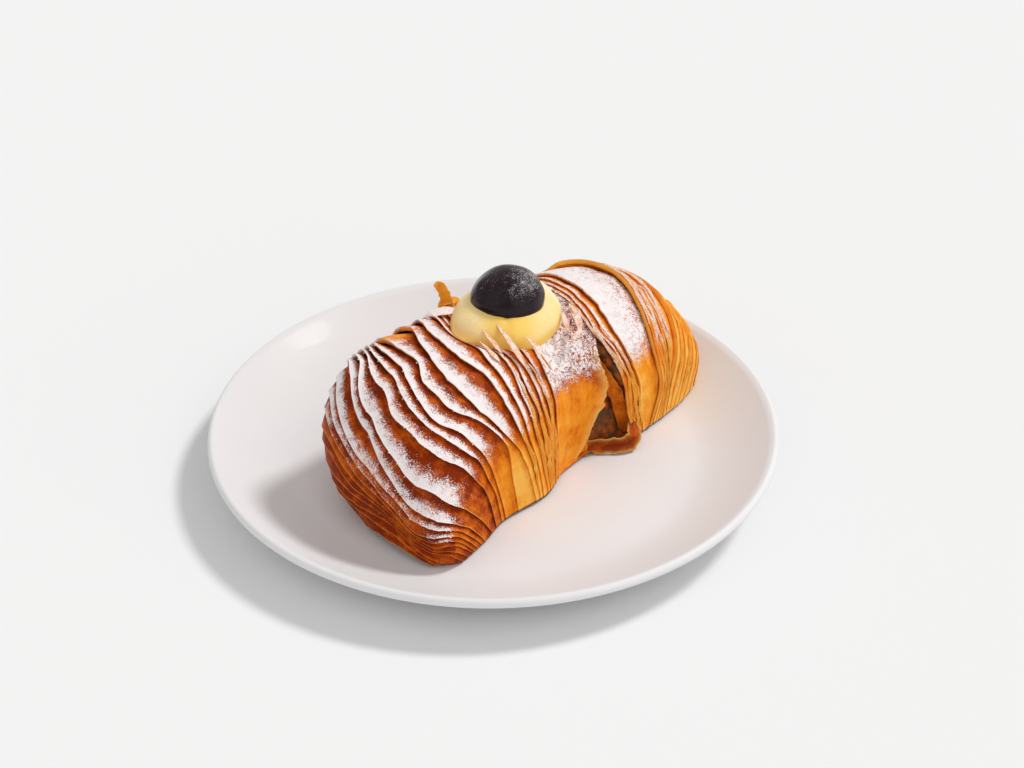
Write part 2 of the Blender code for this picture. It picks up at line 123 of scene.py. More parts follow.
# Leaves from front to back. For each: lift of its edge in mm, sugar, bake from 0 to 1, and the share in
# thousandths where its edge lies at each of these turns. The bake near 1 of the first five leaves is partly
# painted shade, darkening the lower left front that faces away from the key light. Sugar over 1.15 lies
# evenly, not in a band.
EDGE_TURNS = (0, 15, 30, 45, 60, 75, 90, 105, 120, 140, 180)
LEAVES = (
    (0.8, 0.1, 1.00, (8, 8, 8, 8, 10, 12, 14, 14, 12, 10, 10)),
    (0.8, 0.15, 1.00, (22, 20, 18, 18, 22, 34, 42, 48, 58, 78, 110)),
    (0.9, 0.25, 0.98, (40, 36, 30, 28, 34, 55, 68, 70, 76, 100, 140)),
    (0.9, 0.1, 0.97, (82, 74, 62, 46, 46, 66, 82, 88, 102, 135, 190)),
    (0.9, 0.2, 0.95, (106, 96, 78, 54, 54, 74, 92, 108, 145, 180, 220)),
    (1.0, 0.4, 0.90, (132, 118, 94, 64, 62, 86, 104, 130, 180, 215, 250)),
    (1.1, 0.75, 0.90, (148, 132, 108, 78, 70, 94, 120, 160, 220, 250, 290)),
    (1.2, 1.0, 0.88, (164, 148, 122, 92, 78, 106, 136, 196, 262, 290, 320)),
    (1.2, 1.0, 0.88, (188, 170, 140, 113, 104, 128, 158, 232, 296, 312, 335)),
    (1.4, 1.0, 0.90, (208, 190, 158, 134, 132, 162, 222, 298, 336, 345, 352)),
    (1.4, 1.0, 0.90, (260, 238, 212, 188, 184, 212, 255, 332, 350, 358, 366)),
    (1.3, 0.95, 0.86, (292, 312, 298, 278, 260, 268, 308, 350, 364, 370, 378)),
    (1.2, 0.95, 0.86, (320, 341, 342, 315, 297, 308, 338, 362, 376, 382, 390)),
    (1.0, 1.05, 0.85, (345, 357, 360, 342, 318, 335, 362, 374, 388, 394, 402)),
    (1.2, 1.1, 0.82, (392, 400, 410, 390, 359, 361, 390, 395, 400, 408, 428)),
    (1.3, 1.15, 0.78, (446, 440, 426, 408, 394, 398, 413, 436, 440, 442, 452)),
    (1.3, 1.15, 0.75, (460, 455, 446, 444, 447, 435, 438, 456, 474, 476, 480)),
    (1.1, 1.05, 0.70, (474, 469, 462, 466, 466, 472, 476, 484, 494, 498, 500)),
    (0.9, 0.85, 0.75, (488, 484, 480, 484, 492, 492, 498, 505, 512, 516, 518)),
    (0.8, 0.85, 0.72, (503, 501, 500, 502, 508, 509, 514, 521, 527, 531, 534)),
    (0.9, 0.8, 0.70, (517, 516, 516, 519, 523, 525, 530, 537, 542, 546, 550)),
    (0.8, 0.75, 0.66, (532, 532, 534, 537, 540, 542, 547, 553, 558, 562, 566)),
    (1.0, 1.35, 0.80, (550, 552, 555, 558, 562, 566, 570, 574, 578, 582, 584)),
    (1.2, 0.8, 0.60, (790, 752, 732, 710, 692, 694, 700, 696, 690, 686, 684)),
    (0.8, 0.75, 0.55, (798, 762, 742, 720, 702, 704, 711, 708, 702, 698, 696)),
    (0.9, 0.8, 0.50, (806, 772, 752, 731, 713, 715, 722, 720, 714, 710, 708)),
    (2.0, 1.6, 0.56, (814, 784, 764, 745, 730, 731, 738, 737, 732, 728, 724)),
    (3.2, 0.15, 0.12, (834, 840, 820, 809, 814, 829, 842, 832, 802, 790, 780)),
    (1.0, 0.3, 0.35, (844, 850, 832, 822, 826, 840, 853, 845, 818, 806, 796)),
    (1.0, 0.5, 0.35, (854, 858, 844, 836, 839, 852, 864, 858, 834, 822, 812)),
    (1.0, 0.3, 0.30, (861, 863, 854, 849, 853, 865, 876, 870, 849, 838, 828)),
    (0.9, 0.6, 0.30, (866, 865, 864, 862, 868, 879, 888, 883, 864, 853, 843)),
    (2.4, 0.1, 0.03, (872, 867, 876, 884, 894, 900, 902, 898, 888, 876, 862)),
    (0.6, 0.1, 0.03, (884, 880, 888, 896, 906, 912, 914, 911, 902, 892, 880)),
    (0.6, 0.05, 0.03, (898, 895, 901, 908, 917, 923, 926, 924, 917, 908, 898)),
    (0.7, 0.0, 0.03, (913, 911, 916, 922, 929, 934, 937, 936, 931, 924, 916)),
    (0.6, 0.0, 0.03, (928, 927, 931, 936, 941, 945, 948, 947, 944, 939, 933)),
    (0.6, 0.0, 0.03, (943, 943, 946, 949, 953, 956, 958, 958, 956, 953, 949)),
    (0.6, 0.0, 0.18, (958, 958, 960, 962, 965, 967, 969, 969, 968, 966, 964)),
    (0.6, 0.0, 0.20, (973, 973, 974, 975, 977, 979, 980, 980, 980, 979, 978)),
)
WAIST_FROM = 14
CLOSEST_EDGES = 0.0022
DROP_TO_NEXT = 0.72
LEAF_THICKNESS = 0.55 * MM
LEAF_RINGS = 230
STRIP_SIDES = 16
SHARP_FROM = math.radians(48)

# The leaf that is torn at the gap, the two with a thick golden lip, and the turn where the first lip gets low
FLAP = 22
LIPS = (27, 32)
LIP_THICKNESS = 1.5 * MM
TONGUE_ENDS = math.radians(122)

# How creased leaves are
CREASED = {14: 0.4, 15: 0.4, 16: 0.4, 22: 1.0, 23: 0.6, 26: 0.8}
CREASED_ELSEWHERE = 0.12

# Round a leaf's section: how far back from its edge as a share of its depth, on its upper face, down its cut
# edge and under it. The cut edge also has how far down its thickness, and how golden it is there.
UPPER = (1.0, 0.86, 0.74, 0.63, 0.53, 0.44, 0.36, 0.28, 0.21, 0.15, 0.10, 0.06, 0.03, 0.008)
# The gold fades to none down each cut edge, lips too, while the tone darkens: painted shade at the foot of
# each step.
CUT = ((0.0, 0.0, 1.0), (0.0, 0.3, 0.8), (0.0, 0.65, 0.25), (0.003, 1.0, 0.0))
LIP_CUT_GOLD = (0.9, 0.45, 0.3, 0.0)
LOWER = (0.04, 0.12, 0.28, 0.55, 0.85)
SECTION_BACK = np.array(UPPER + tuple(c[0] for c in CUT) + LOWER)[None, :]
SECTION_DOWN = np.array((0.0,) * len(UPPER) + tuple(c[1] for c in CUT) + (1.0,) * len(LOWER))[None, :]

# Sugar on a leaf, at parts of the way from its edge to the next: in a band behind the edge, or lying evenly
BAND_STOPS = (0.0, 0.16, 0.42, 0.62, 0.84)
BAND_SUGAR = (0.98, 0.84, 0.58, 0.24, 0.02)
EVEN_SUGAR = (0.70, 0.68, 0.62, 0.55, 0.42)
BAND_LONGEST = 10 * MM

# Places on the shell: share and its reach, turn in degrees and its reach in radians
OPEN_CREST = (0.38, 0.08, 112, 0.32)
OPEN_LIPS = (0.82, 0.03, 100, 0.6)
OPEN_LEFT = (0.11, 0.07, 125, 0.5)
BARE_CREST = (0.415, 0.03, 109, 0.17)
GOLDEN_FOOT = (0.43, 0.045, 10, 0.32)

# Torn strips, in mm along, across and up, with the width at each point
POINTED_TIPS = (
    ((-6.8, 20.4, 45.6, 2.2), (-8.6, 16.4, 52.7, 2.5), (-7.8, 11.0, 56.8, 1.8), (-5.3, 5.3, 58.7, 0.2)),
    ((-9.6, 13.2, 49.4, 1.8), (-12.2, 11.4, 54.9, 2.0), (-11.0, 7.2, 56.4, 1.3), (-9.6, 3.9, 56.9, 0.2)),
    ((-12.8, 15.4, 48.8, 1.6), (-15.4, 13.0, 54.0, 1.8), (-14.2, 8.8, 54.9, 1.2), (-12.8, 5.4, 55.0, 0.2)),
    ((0.0, 22.4, 45.4, 2.0), (-4.0, 21.6, 52.8, 2.4), (-3.4, 18.0, 54.6, 1.6), (-3.0, 15.0, 55.6, 0.2)),
    ((12.4, 20.0, 51.6, 0.8), (14.2, 17.4, 53.2, 2.0), (17.4, 14.2, 53.8, 0.6)),
    ((14.8, 23.0, 50.4, 0.8), (17.6, 19.8, 52.8, 2.4), (21.6, 17.0, 52.0, 0.5)),
    ((18.8, 20.6, 51.2, 0.6), (20.8, 16.6, 52.8, 1.8), (23.0, 12.4, 53.4, 0.5)),
    ((10.4, 23.4, 49.6, 0.6), (13.6, 22.4, 51.0, 1.4), (17.4, 22.6, 50.2, 0.5)),
)
STANDING_FLAKE = (
    (-0.6, -16.7, 50.0, 4.0), (-0.9, -16.9, 53.6, 4.0), (-1.2, -17.4, 57.0, 3.9), (-1.8, -18.3, 59.8, 3.6),
    (-2.5, -19.2, 61.2, 2.6), (-3.8, -19.6, 61.0, 1.0),
)
CURLED_KNOB = (
    (-3.0, -17.6, 52.2, 1.6), (-2.4, -17.9, 54.2, 2.4), (-0.4, -16.9, 55.0, 2.8), (1.4, -15.4, 54.6, 2.4),
    (1.2, -14.6, 53.0, 1.6),
)
WHITE_CURL = (
    (-9.6, -18.0, 52.4, 2.0), (-8.0, -16.8, 54.0, 3.0), (-5.6, -14.8, 54.4, 3.2), (-2.4, -12.6, 54.0, 2.4),
)
LOW_LIP = (
    (12.5, 18.6, 6.6, 2.4), (17.0, 24.2, 7.4, 4.2), (21.0, 29.4, 7.8, 5.2), (24.8, 33.6, 8.2, 5.8),
    (27.4, 34.4, 9.0, 6.0), (29.6, 33.2, 10.4, 5.4), (31.4, 31.4, 12.0, 3.4),
)

# Loose edges that cross the bundles of leaves: for each, the leaf it starts from, how far behind that leaf's
# edge as a share, the turns in degrees where it starts and ends, its lift in mm and its width in mm
LOOSE_EDGES = (
    (16, 0.004, 34, 3, 1.1, 0.8),
    (18, 0.002, 60, 6, 1.2, 0.9),
    (19, -0.002, 50, 3, 1.4, 0.8),
    (19, 0.005, 30, 2, 1.7, 0.9),
    (20, 0.003, 44, 2, 1.4, 0.8),
    (21, -0.002, 56, 10, 1.2, 0.8),
    (21, 0.005, 26, 2, 1.6, 0.9),
    (23, 0.003, 74, 30, 1.4, 0.9),
    (24, -0.003, 46, 8, 1.5, 0.9),
    (24, 0.004, 30, 3, 2.0, 0.9),
    (25, 0.000, 58, 5, 1.4, 0.8),
    (25, 0.006, 26, 4, 1.9, 0.8),
    (28, 0.003, 128, 50, 1.6, 0.9),
    (28, 0.006, 84, 10, 1.6, 0.8),
    (29, 0.004, 100, 8, 1.3, 0.9),
    (30, 0.005, 76, 14, 1.3, 0.8),
    (31, 0.004, 110, 30, 1.2, 0.9),
    (33, 0.004, 116, 50, 1.1, 0.9),
    (34, 0.002, 70, 12, 1.0, 0.9),
    (35, 0.008, 88, 34, 1.0, 0.8),
    (36, 0.003, 50, 6, 1.0, 0.9),
    (37, 0.006, 104, 40, 1.0, 0.8),
)

# The fold at the far end: share, size of its section and how far it stands out along the pastry, in mm
FAR_END = (
    (0.965, 1.0, 0.0), (0.985, 1.0, 0.0), (0.998, 1.0, 0.0), (1.0, 0.94, 0.5), (1.0, 0.8, 1.0),
    (1.0, 0.6, 1.4), (1.0, 0.35, 1.6), (1.0, 0.05, 1.7),
)

# Colours. Crust runs from barely baked to nearly burnt. Its darker end also gives the painted shade in
# the gutters, down the cut edges and under the leaves.
CRUST_TONES = (
    (0.0, (0.96, 0.50, 0.085)),
    (0.22, (0.90, 0.35, 0.028)),
    (0.45, (0.84, 0.25, 0.010)),
    (0.66, (0.62, 0.135, 0.004)),
    (0.85, (0.41, 0.060, 0.002)),
    (1.0, (0.22, 0.022, 0.001)),
)
CUT_EDGE_GOLD = (0.94, 0.52, 0.135)
# Painted shade in the creases of the leaves
CREASE_SHADE_BROWN = (0.40, 0.075, 0.003)
# Painted shade in the pits of the inner crumb
PIT_SHADE_BROWN = (0.09, 0.042, 0.006)
CUSTARD_TONES = ((0.94, 0.58, 0.09), (0.94, 0.63, 0.14))
CUSTARD_PALE = (1.0, 0.79, 0.40)
CHERRY_TONES = ((0.006, 0.003, 0.006), (0.022, 0.008, 0.011))
DUST_ON_LEAF = (0.95, 0.875, 0.875)
DUST_ON_CUSTARD = (0.99, 0.87, 0.70)
# Grey dust on the cherry, heaviest on its lit right side: partly sugar, partly a painted sheen
DUST_AND_SHEEN_ON_CHERRY = (0.36, 0.33, 0.34)
SUGAR_TONES = ((0.95, 0.88, 0.86), (0.93, 0.82, 0.78))
GLAZE_TONES = ((0.785, 0.775, 0.785), (0.805, 0.795, 0.805))
FLOOR_TONES = ((0.848, 0.858, 0.866), (0.853, 0.863, 0.871))


def smooth(value):
    """A step from 0 to 1 that starts and ends gently."""
    value = np.clip(value, 0.0, 1.0)
    return value * value * (3 - 2 * value)


def curve_through(stations, values):
    """A curve that passes every value and never swings past one."""
    stations, values = np.asarray(stations, float), np.asarray(values, float)
    steps = np.diff(values) / np.diff(stations)
    before, after = steps[:-1], steps[1:]
    same = before * after > 0
    inner = np.where(same, 2 * before * after / np.where(same, before + after, 1.0), 0.0)
    tangents = np.concatenate(([steps[0]], inner, [steps[-1]]))

    def value_at(place):
        place = np.clip(place, stations[0], stations[-1])
        i = np.clip(np.searchsorted(stations, place, side="right") - 1, 0, len(stations) - 2)
        width = stations[i + 1] - stations[i]
        x = (place - stations[i]) / width
        start = values[i] * (1 + 2 * x) * (1 - x) ** 2 + tangents[i] * width * x * (1 - x) ** 2
        end = values[i + 1] * x * x * (3 - 2 * x) + tangents[i + 1] * width * x * x * (x - 1)
        return start + end

    return value_at


def drift(places, spacing, seed):
    """Smooth random values between -1 and 1 along a line of places, with a new value every spacing."""
    own = np.random.default_rng(seed)
    low = places.min() - spacing
    count = int((places.max() - low) / spacing) + 4
    values = own.uniform(-1, 1, count)
    x = (places - low) / spacing
    i = np.floor(x).astype(int)
    return values[i] + (values[i + 1] - values[i]) * smooth(x - i)


# Places on the smooth body

ARCH_SHARES = [arch[0] for arch in ARCHES]
RIGHT_FOOT, LEFT_FOOT, CROWN = (
    [curve_through(ARCH_SHARES, [arch[part][axis] * MM for arch in ARCHES]) for axis in range(axes)]
    for part, axes in ((1, 2), (2, 2), (3, 3))
)


def place(along, across, height):
    along, across, height = np.broadcast_arrays(along, across, height)
    return along[..., None] * ALONG + across[..., None] * ACROSS + height[..., None] * UP


def body_point(share, turn):
    share, turn = np.broadcast_arrays(np.asarray(share, float), np.asarray(turn, float))
    right = place(RIGHT_FOOT[0](share), RIGHT_FOOT[1](share), WELL_TOP)
    left = place(LEFT_FOOT[0](share), LEFT_FOOT[1](share), WELL_TOP)
    crown = place(CROWN[0](share), CROWN[1](share), WELL_TOP + CROWN[2](share))
    middle = (right + left) / 2
    side, rise = np.cos(turn), np.abs(np.sin(turn))
    shoulder = SHOULDER_FULLNESS * np.exp(-(((share - SHOULDER_SHARE) / SHOULDER_SPREAD) ** 2)) * (side < 0)
    out = np.sign(side) * np.abs(side) ** (SIDE_SHARPNESS - shoulder)
    out = out * (1 + SIDE_FULLNESS * np.sin(2 * turn) ** 2)
    up = rise[..., None] ** CROWN_SHARPNESS
    return middle + (right - left) / 2 * out[..., None] + (crown - middle) * up


def body_normal(share, turn):
    """The way out of the body, which is level at both feet."""
    share, turn = np.broadcast_arrays(np.asarray(share, float), np.asarray(turn, float))
    turn = np.clip(turn, 0.06, math.pi - 0.06)
    step = 0.01
    lengthways = body_point(np.minimum(share + step, 1), turn) - body_point(np.maximum(share - step, 0), turn)
    roundways = body_point(share, turn + step) - body_point(share, turn - step)
    normal = np.cross(lengthways, roundways)
    normal /= np.linalg.norm(normal, axis=-1, keepdims=True)
    low = (1 - np.abs(np.sin(turn)))[..., None]
    return normal - ALONG * (normal @ ALONG)[..., None] * low


def plate_top(radius):
    """The height of the plate's upper face."""
    rise = np.clip((radius - WELL_RADIUS) / (PLATE_RADIUS - WELL_RADIUS), 0, 1)
    return WELL_TOP + (PLATE_HEIGHT - WELL_TOP) * rise**RIM_CURVE


def above_plate(points, clear=CLEAR_OF_PLATE):
    """The points, with those that lie less than clear above the plate raised to that height."""
    lowest = plate_top(np.hypot(points[..., 0], points[..., 1])) + clear
    points[..., 2] = np.maximum(points[..., 2], lowest)
    return points


def on_shell(share, turn, lift, clear=CLEAR_OF_PLATE):
    """Points that stand lift above the smooth body, sunk under the cream and kept clear of the plate."""
    share = np.clip(share, 0.0, 1.0)
    points = body_point(share, turn) + body_normal(share, turn) * np.asarray(lift)[..., None]
    along = (points @ ALONG - CREAM_MIDDLE[0] * MM) / CREAM_HALF_LENGTH
    across = (points @ ACROSS - CREAM_MIDDLE[1] * MM) / CREAM_HALF_WIDTH
    near_cream = smooth((DIP_REACH - np.hypot(along, across)) / DIP_FADE)
    points[..., 2] -= DIP_SHARE * np.clip(points[..., 2] - DIPS_ABOVE, 0, DIP_MOST) * near_cream
    return above_plate(points, clear)


def foot_fade(turn):
    """1 over most of the arch, down to 0 at both feet."""
    return np.abs(np.sin(turn)) ** 0.3


def flap_share(turn):
    """Where the leaf before the gap is torn off."""
    down = np.clip(1 - turn / GAP_TOP, 0, 1)
    return FLAP_EDGE + FLAP_BULGE * np.sin(math.pi * down**0.9)


def back_share(turn):
    """Where the first leaf behind the gap lies."""
    return BACK_EDGE + BACK_EDGE_PULL * np.clip(1 - turn / GAP_TOP, 0, 1) ** 1.5


def gap_opening(turn):
    """1 where the gap is open, down to 0 at its top."""
    return smooth((GAP_TOP - turn) / (GAP_TOP * 0.35))


def hill(share, turn, share_at, share_reach, turn_at, turn_reach):
    """1 at a place on the shell, falling to 0 round it."""
    along = -(((share - share_at) / share_reach) ** 2)
    return np.exp(along - ((turn - math.radians(turn_at)) / turn_reach) ** 2)


def edge_flare(share, turn):
    """How much further a leaf's edge stands out where the dough has opened."""
    crest, lips, left = (hill(share, turn, *spot) for spot in (OPEN_CREST, OPEN_LIPS, OPEN_LEFT))
    return 1 + 2.3 * crest + 0.4 * lips + 0.8 * left


# Meshes and objects

SPHERES = {}


def to_mesh(name, bm):
    mesh = bpy.data.meshes.new(name)
    bm.to_mesh(mesh)
    bm.free()
    return mesh


def unit_sphere(rings, sides):
    """A sphere's mesh with this many rings of points between its poles, made once for each size."""
    if (rings, sides) not in SPHERES:
        bm = bmesh.new()
        bmesh.ops.create_uvsphere(bm, u_segments=sides, v_segments=rings + 1, radius=1)
        SPHERES[rings, sides] = to_mesh("sphere", bm)
    return SPHERES[rings, sides]


def positions(mesh):
    flat = np.empty(len(mesh.vertices) * 3, np.float32)
    mesh.vertices.foreach_get("co", flat)
    return flat.reshape(-1, 3).astype(float)


def set_positions(mesh, points):
    mesh.vertices.foreach_set("co", points.astype(np.float32).ravel())


def set_values(mesh, key, values):
    mesh.attributes.new(key, "FLOAT", "POINT").data.foreach_set("value", values.astype(np.float32))


def new_object(name, data):
    made = bpy.data.objects.new(name, data)
    bpy.context.scene.collection.objects.link(made)
    return made


def finished(name, mesh, finish):
    """A smooth object from a mesh, with its faces outwards."""
    bm = bmesh.new()
    bm.from_mesh(mesh)
    bmesh.ops.recalc_face_normals(bm, faces=bm.faces)
    bm.to_mesh(mesh)
    bm.free()
    mesh.materials.append(finish)
    mesh.shade_smooth()
    mesh.set_sharp_from_angle(angle=SHARP_FROM)
    return new_object(name, mesh)


class Rings:
    """A mesh of several closed tubes, each given as an array of points, rings by points round the ring. A
    tube is made from a sphere, so both its ends are closed."""

    def __init__(self):
        self.tubes = []

    def add(self, points, **values):
        self.tubes.append((points, values))

    def make(self, name, finish):
        bm = bmesh.new()
        for points, _ in self.tubes:
            bm.from_mesh(unit_sphere(*points.shape[:2]))
        mesh = to_mesh(name, bm)
        unit = positions(mesh)
        placed = np.empty_like(unit)
        names = sorted({key for _, values in self.tubes for key in values})
        layers = {key: np.zeros(len(unit), np.float32) for key in names}
        start = 0
        for points, values in self.tubes:
            rings, sides = points.shape[:2]
            span = slice(start, start + rings * sides + 2)
            own = unit[span]
            row = np.rint(np.arccos(np.clip(own[:, 2], -1, 1)) / math.pi * (rings + 1)).astype(int)
            around = np.arctan2(own[:, 1], own[:, 0]) / (2 * math.pi) * sides
            column = np.floor(around + 0.25).astype(int) % sides
            ring = np.clip(row - 1, 0, rings - 1)
            found = points[ring, column]
            for end, at in ((0, 0), (rings + 1, rings - 1)):
                found[row == end] = points[at].mean(axis=0)
            placed[span] = found
            for key, value in values.items():
                layers[key][span] = np.broadcast_to(value, (rings, sides))[ring, column]
            start = span.stop
        set_positions(mesh, placed)
        for key in names:
            set_values(mesh, key, layers[key])
        return finished(name, mesh, finish)


# Materials


def new_group(name, inputs, outputs):
    """An empty node group with named inputs, given as (name, kind, default), and outputs, as (name, kind)."""
    group = bpy.data.node_groups.new(name, "ShaderNodeTree")
    for label, kind, default in inputs:
        socket = group.interface.new_socket(name=label, in_out="INPUT", socket_type=kind)
        if default is not None:
            socket.default_value = default
    for label, kind in outputs:
        group.interface.new_socket(name=label, in_out="OUTPUT", socket_type=kind)
    return group, group.nodes.new("NodeGroupInput").outputs, group.nodes.new("NodeGroupOutput").inputs


def node(tree, kind, links=(), **settings):
    """A node with its settings, and its inputs linked or set from pairs of (input, socket or value)."""
    made = tree.nodes.new("ShaderNode" + kind)
    for key, value in settings.items():
        setattr(made, key, value)
    for key, value in links:
        if isinstance(value, bpy.types.NodeSocket):
            tree.links.new(value, made.inputs[key])
        else:
            made.inputs[key].default_value = value
    return made


def placed_group(tree, group, **links):
    return node(tree, "Group", links.items(), node_tree=group).outputs


def maths(tree, operation, first, second=0.0, clamp=False):
    return node(tree, "Math", ((0, first), (1, second)), operation=operation, use_clamp=clamp).outputs[0]


def times(tree, first, second):
    return maths(tree, "MULTIPLY", first, second)


def noise(tree, where, scale, detail=2.0, roughness=0.5, distortion=0.0):
    links = (
        ("Vector", where), ("Scale", scale), ("Detail", detail), ("Roughness", roughness),
        ("Distortion", distortion),
    )
    return node(tree, "TexNoise", links).outputs["Fac"]


def spread(tree, value, low, high, to_low=0.0, to_high=1.0):
    """The value stretched from one range to another, and held inside it."""
    links = (("Value", value), ("From Min", low), ("From Max", high), ("To Min", to_low), ("To Max", to_high))
    return node(tree, "MapRange", links, clamp=True).outputs["Result"]


def mixed(tree, share, first, second):
    """The first colour with a share of the second. Either is a socket or three numbers."""
    first, second = (c if isinstance(c, bpy.types.NodeSocket) else (*c, 1) for c in (first, second))
    return node(tree, "Mix", ((0, share), (6, first), (7, second)), data_type="RGBA").outputs[2]


def ramp(tree, value, stops):
    made = node(tree, "ValToRGB", (("Fac", value),))
    elements = made.color_ramp.elements
    while len(elements) < len(stops):
        elements.new(1.0)
    for element, (position, colour) in zip(elements, stops):
        element.position = position
        element.color = (*colour, 1)
    return made.outputs["Color"]


def attribute(tree, name):
    return node(tree, "Attribute", (), attribute_name=name).outputs["Fac"]


def bump(tree, height, strength, distance, under=None):
    """A bumped normal, with its distance in mm, over another one if it is given."""
    links = [("Height", height), ("Strength", strength), ("Distance", distance * MM)]
    if under is not None:
        links.append(("Normal", under))
    return node(tree, "Bump", links).outputs[0]


def new_material(name, roughness=0.5, **constants):
    """A material, its tree and its shader, whose inputs are set by name with _ for a space."""
    material = bpy.data.materials.new(name)
    material.use_nodes = True
    tree = material.node_tree
    shader = tree.nodes["Principled BSDF"]
    shader.inputs["Roughness"].default_value = roughness
    for key, value in constants.items():
        shader.inputs[key.replace("_", " ")].default_value = value
    return material, tree, shader


def join(tree, shader, **sockets):
    """Links sockets to the shader's inputs, with _ for a space in an input's name."""
    for key, socket in sockets.items():
        tree.links.new(socket, shader.inputs[key.replace("_", " ")])


def in_mm(tree):
    """Object coordinates in millimetres."""
    where = node(tree, "TexCoord").outputs["Object"]
    return node(tree, "VectorMath", ((0, where), (3, 1 / MM)), operation="SCALE").outputs[0]


def sugar_dust_group():
    """Powdered sugar: how much lies on a spot, speckled where it is thin, and its height."""
    group, given, out = new_group(
        "sugar_dust",
        (("Place", "NodeSocketVector", None), ("Amount", "NodeSocketFloat", 0.5)),
        (("Cover", "NodeSocketFloat"), ("Height", "NodeSocketFloat")),
    )
    fine = spread(group, noise(group, given["Place"], 2.6, 3.0, 0.65), 0.3, 0.7)
    patch = spread(group, noise(group, given["Place"], 0.42), 0.3, 0.7)
    grain = maths(group, "ADD", times(group, fine, 0.7), times(group, patch, 0.3))
    cover = spread(group, maths(group, "SUBTRACT", given["Amount"], grain), -0.16, 0.20)
    group.links.new(cover, out["Cover"])
    group.links.new(times(group, cover, maths(group, "ADD", fine, 0.6)), out["Height"])
    return group


def baked_crust_group():
    """Laminated crust, golden to deep brown by its bake and painted shade, in streaks that follow the leaves.
    """
    group, given, out = new_group(
        "baked_crust",
        (("Place", "NodeSocketVector", None), ("Grain", "NodeSocketVector", None),
         ("Bake", "NodeSocketFloat", 0.5)),
        (("Color", "NodeSocketColor"), ("Height", "NodeSocketFloat"), ("Streaks", "NodeSocketFloat")),
    )
    streaks = noise(group, given["Grain"], 1.0, 4.0, 0.6, 0.3)
    patches = noise(group, given["Place"], 0.22)
    blisters = noise(group, given["Place"], 1.1)
    tone = maths(group, "ADD", given["Bake"], spread(group, streaks, 0.25, 0.75, -0.11, 0.11))
    tone = maths(group, "ADD", tone, spread(group, patches, 0.3, 0.7, -0.17, 0.17))
    tone = maths(group, "ADD", tone, spread(group, blisters, 0.35, 0.7, -0.05, 0.05), clamp=True)
    group.links.new(ramp(group, tone, CRUST_TONES), out["Color"])
    height = maths(group, "ADD", times(group, streaks, 0.5), times(group, blisters, 0.5))
    group.links.new(height, out["Height"])
    group.links.new(streaks, out["Streaks"])
    return group


def leaf_material(name, crust, dust):
    """Baked leaf with a pale cut edge and creases, dusted with sugar, with painted shade in its bake and
    creases.
    """
    material, tree, shader = new_material(name, Specular_IOR_Level=0.05)
    where = in_mm(tree)
    behind, run, leaf, rim, creased, sweet, bake = (
        attribute(tree, key) for key in ("behind", "run", "leaf", "rim", "creased", "sugar", "bake")
    )
    links = (("X", times(tree, run, 0.10)), ("Y", behind), ("Z", times(tree, leaf, 3.7)))
    grain = node(tree, "CombineXYZ", links).outputs[0]
    baked = placed_group(tree, crust, Place=where, Grain=grain, Bake=bake)
    rim = times(tree, rim, spread(tree, baked["Streaks"], 0.3, 0.7, 0.45, 1.0))
    colour = mixed(tree, rim, baked["Color"], CUT_EDGE_GOLD)
    off_fold = maths(tree, "ABSOLUTE", maths(tree, "SUBTRACT", noise(tree, where, 0.5, 3.0, 0.55, 0.9), 0.5))
    fold = times(tree, spread(tree, off_fold, 0.0, 0.045, 1.0, 0.0), creased)
    # Painted shade: the creases darkened towards a deep brown
    colour = mixed(tree, times(tree, fold, 0.3), colour, CREASE_SHADE_BROWN)
    amount = maths(tree, "SUBTRACT", sweet, times(tree, fold, 0.5))
    sugar = placed_group(tree, dust, Place=where, Amount=amount)
    colour = mixed(tree, sugar["Cover"], colour, DUST_ON_LEAF)
    roughness = spread(tree, sugar["Cover"], 0.0, 1.0, 0.5, 0.9)
    height = maths(tree, "SUBTRACT", baked["Height"], times(tree, fold, 0.35))
    normal = bump(tree, sugar["Height"], 0.5, 0.25, bump(tree, height, 0.5, 0.4))
    join(tree, shader, Base_Color=colour, Roughness=roughness, Normal=normal)
    return material


def crumb_material(crust):
    """Inside of the shell: pitted, a little oily, darker partly as painted shade, with painted shade in its
    pits.
    """
    material, tree, shader = new_material("inner_crumb", 0.4, Specular_IOR_Level=0.3)
    where = in_mm(tree)
    baked = placed_group(tree, crust, Place=where, Grain=where, Bake=0.78)
    bent = noise(tree, where, 0.35, 3.0, 0.6)
    cells = node(tree, "TexVoronoi", (("Vector", where), ("Scale", 0.3)), feature="F1").outputs["Distance"]
    pits = spread(tree, maths(tree, "ADD", cells, maths(tree, "SUBTRACT", bent, 0.5)), 0.1, 0.8)
    # Painted shade in the pits
    colour = mixed(tree, pits, baked["Color"], PIT_SHADE_BROWN)
    join(tree, shader, Base_Color=colour, Normal=bump(tree, pits, 0.8, -0.8))
    return material


def custard_material(dust):
    """Soft yellow cream, paler under its dusting."""
    material, tree, shader = new_material(
        "custard_cream_gloss", 0.48, Subsurface_Weight=0.12, Subsurface_Radius=(1.0, 0.6, 0.25),
        Subsurface_Scale=2 * MM, Specular_IOR_Level=0.25,
    )
    where = in_mm(tree)
    colour = mixed(tree, spread(tree, noise(tree, where, 0.12), 0.3, 0.7), *CUSTARD_TONES)
    dusted = attribute(tree, "sugar")
    colour = mixed(tree, spread(tree, dusted, 0.05, 0.6), colour, CUSTARD_PALE)
    sugar = placed_group(tree, dust, Place=where, Amount=times(tree, dusted, 0.6))
    colour = mixed(tree, sugar["Cover"], colour, DUST_ON_CUSTARD)
    roughness = spread(tree, sugar["Cover"], 0.0, 1.0, 0.48, 0.8)
    height = maths(tree, "ADD", noise(tree, where, 0.9, 3.0), sugar["Height"])
    join(tree, shader, Base_Color=colour, Roughness=roughness, Normal=bump(tree, height, 0.25, 0.3))
    return material


